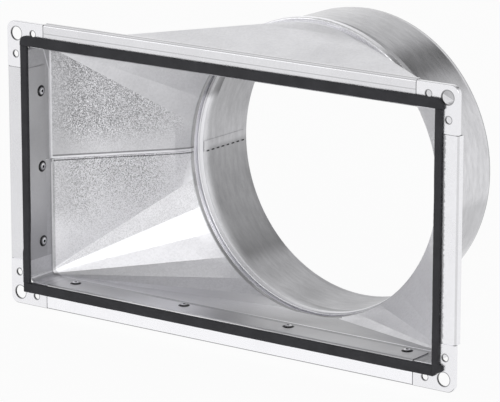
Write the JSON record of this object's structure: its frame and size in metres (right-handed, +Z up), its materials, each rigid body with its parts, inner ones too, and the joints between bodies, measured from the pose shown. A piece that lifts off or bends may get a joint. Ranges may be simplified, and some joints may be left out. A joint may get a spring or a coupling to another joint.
{
  "type": "duct transition piece",
  "caption": "Galvanised square-to-round duct transition with a faceted body, a flanged and gasketed rectangular end and a round push-in spigot.",
  "frame": {"origin": "centre of the bolt pattern, in the plane of the flange's metal face", "axes": "+X across the wide side of the rectangular end, +Y from the flange face towards the spigot, +Z up across the short side"},
  "size_m": [0.4414, 0.2031, 0.2544],
  "materials": {
    "duct_sheet": "galvanised sheet with a fine spangle",
    "spigot_sheet": "galvanised sheet, smooth and rolled",
    "flange_strip": "galvanised strip, satin",
    "corner_plate": "galvanised stamping, bright",
    "foam": "matt black closed-cell foam",
    "rivet": "satin"
  },
  "bodies": {
    "root": {"body_upper_shell": "duct_sheet", "body_lower_shell": "duct_sheet", "spigot": "spigot_sheet", "flange_strip_top": "flange_strip", "flange_strip_bottom": "flange_strip", "flange_strip_left": "flange_strip", "flange_strip_right": "flange_strip", "corner_piece_top_left": "corner_plate", "corner_piece_top_right": "corner_plate", "corner_piece_bottom_left": "corner_plate", "corner_piece_bottom_right": "corner_plate", "gasket_top": "foam", "gasket_bottom": "foam", "gasket_left": "foam", "gasket_right": "foam", "rivets_top": "rivet", "rivets_bottom": "rivet", "rivets_left": "rivet", "rivets_right": "rivet"}
  },
  "joints": []
}
